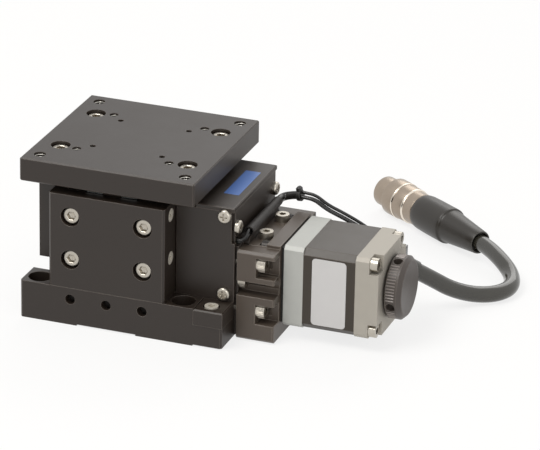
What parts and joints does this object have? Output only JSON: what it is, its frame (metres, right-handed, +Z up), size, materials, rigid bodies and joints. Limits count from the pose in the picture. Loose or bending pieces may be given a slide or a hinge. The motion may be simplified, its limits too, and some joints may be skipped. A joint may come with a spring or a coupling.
{
  "type": "motorised vertical translation stage",
  "caption": "Compact motor-driven lift stage: a wedge on crossed-roller guides raises a square drilled table, with handwheel, coupling bracket and connector lead.",
  "frame": {"origin": "centre of the base's four mounting holes, on the base's bottom plane, under the middle of the table", "axes": "+Z up, the table's travel; +X along the drive, from the base towards the motor and handwheel; +Y away from the side with the corner block"},
  "size_m": [0.1461, 0.1361, 0.056],
  "materials": {
    "black_anodised": "matt black hard anodised",
    "screw_steel": "bright nickel-plated socket and pan head screws",
    "black_screw_steel": "black oxide",
    "rail_steel": "ground and hardened",
    "hub_aluminium": "turned, clear anodised",
    "sensor_plastic": "moulded black",
    "board_laminate": "green solder resist",
    "flag_steel": "black oxide sheet",
    "motor_flange_cast": "satin die casting",
    "motor_cap_cast": "satin die casting",
    "stator_paint": "satin grey laminations",
    "black_rubber": "satin black",
    "lead_insulation": "black leads",
    "nickel_shell": "satin nickel plated"
  },
  "bodies": {
    "base": {"base_block": "black_anodised", "base_rails": "rail_steel", "base_set_screws": "black_screw_steel", "bearing_flange": "black_anodised", "bracket_screws": "screw_steel", "cable": "black_rubber", "cable_boot": "black_rubber", "cable_sleeve": "black_rubber", "cable_tie": "sensor_plastic", "connector_insert": "sensor_plastic", "connector_shell": "nickel_shell", "corner_block": "black_anodised", "corner_screw": "screw_steel", "coupling_cover": "black_anodised", "coupling_cover_screws": "screw_steel", "cover_screws": "screw_steel", "end_plate": "black_anodised", "end_plate_screws": "screw_steel", "front_cover": "black_anodised", "front_upright": "black_anodised", "gib_screws": "screw_steel", "lead_bundle": "lead_insulation", "lead_outlet": "black_rubber", "lead_tube": "black_rubber", "lift_rails_fixed": "rail_steel", "limit_sensors": "sensor_plastic", "motor_bracket": "black_anodised", "motor_case_screws": "screw_steel", "motor_flange": "motor_flange_cast", "motor_mount_screws": "screw_steel", "motor_rear_cap": "motor_cap_cast", "motor_spacer": "sensor_plastic", "motor_stator": "stator_paint", "rear_cover": "black_anodised", "rear_upright": "black_anodised", "screw_bearings": "rail_steel", "sensor_board": "board_laminate", "top_cover": "black_anodised", "upright_screws": "screw_steel"},
    "screw": {"ball_screw": "rail_steel", "screw_locknut": "rail_steel", "coupling_hubs": "hub_aluminium", "coupling_disc": "sensor_plastic", "motor_rotor": "rail_steel", "knob": "black_anodised", "knob_set_screws": "black_screw_steel"},
    "wedge": {"wedge_block": "black_anodised", "ball_nut": "rail_steel", "nut_screws": "screw_steel", "wedge_rails_lower": "rail_steel", "slope_rails_wedge": "rail_steel"},
    "table": {"table_plate": "black_anodised", "table_screws": "screw_steel", "lift_block": "black_anodised", "lift_rails_moving": "rail_steel", "slope_rails_table": "rail_steel", "sensor_flag": "flag_steel"},
    "base_cages": {"base_roller_cages": "rail_steel"},
    "slope_cages": {"slope_roller_cages": "rail_steel"},
    "lift_cages": {"lift_roller_cages": "rail_steel"}
  },
  "joints": [
    {"name": "screw_turn", "type": "hinge", "parent": "base", "child": "screw", "pos_m": [0.07, 0, 0.0187], "axis": [1, 0, 0], "range_deg": [-1440, 4320]},
    {"name": "wedge_slide", "type": "slide", "parent": "base", "child": "wedge", "axis": [-1, 0, 0], "range_m": [-0.004, 0.012]},
    {"name": "table_lift", "type": "slide", "parent": "base", "child": "table", "axis": [0, 0, 1], "range_m": [-0.002, 0.006]},
    {"name": "base_cage_slide", "type": "slide", "parent": "base", "child": "base_cages", "axis": [-1, 0, 0], "range_m": [-0.002, 0.006]},
    {"name": "slope_cage_slide", "type": "slide", "parent": "base", "child": "slope_cages", "axis": [-0.8944, 0, 0.4472], "range_m": [-0.00224, 0.00671]},
    {"name": "lift_cage_slide", "type": "slide", "parent": "base", "child": "lift_cages", "axis": [0, 0, 1], "range_m": [-0.001, 0.003]}
  ],
  "couplings": [
    {"joint": "screw_turn", "follows": "table_lift", "rad_per_m": 12566},
    {"joint": "wedge_slide", "follows": "table_lift", "ratio": 2},
    {"joint": "base_cage_slide", "follows": "table_lift", "ratio": 1},
    {"joint": "slope_cage_slide", "follows": "table_lift", "ratio": 1.118},
    {"joint": "lift_cage_slide", "follows": "table_lift", "ratio": 0.5}
  ]
}
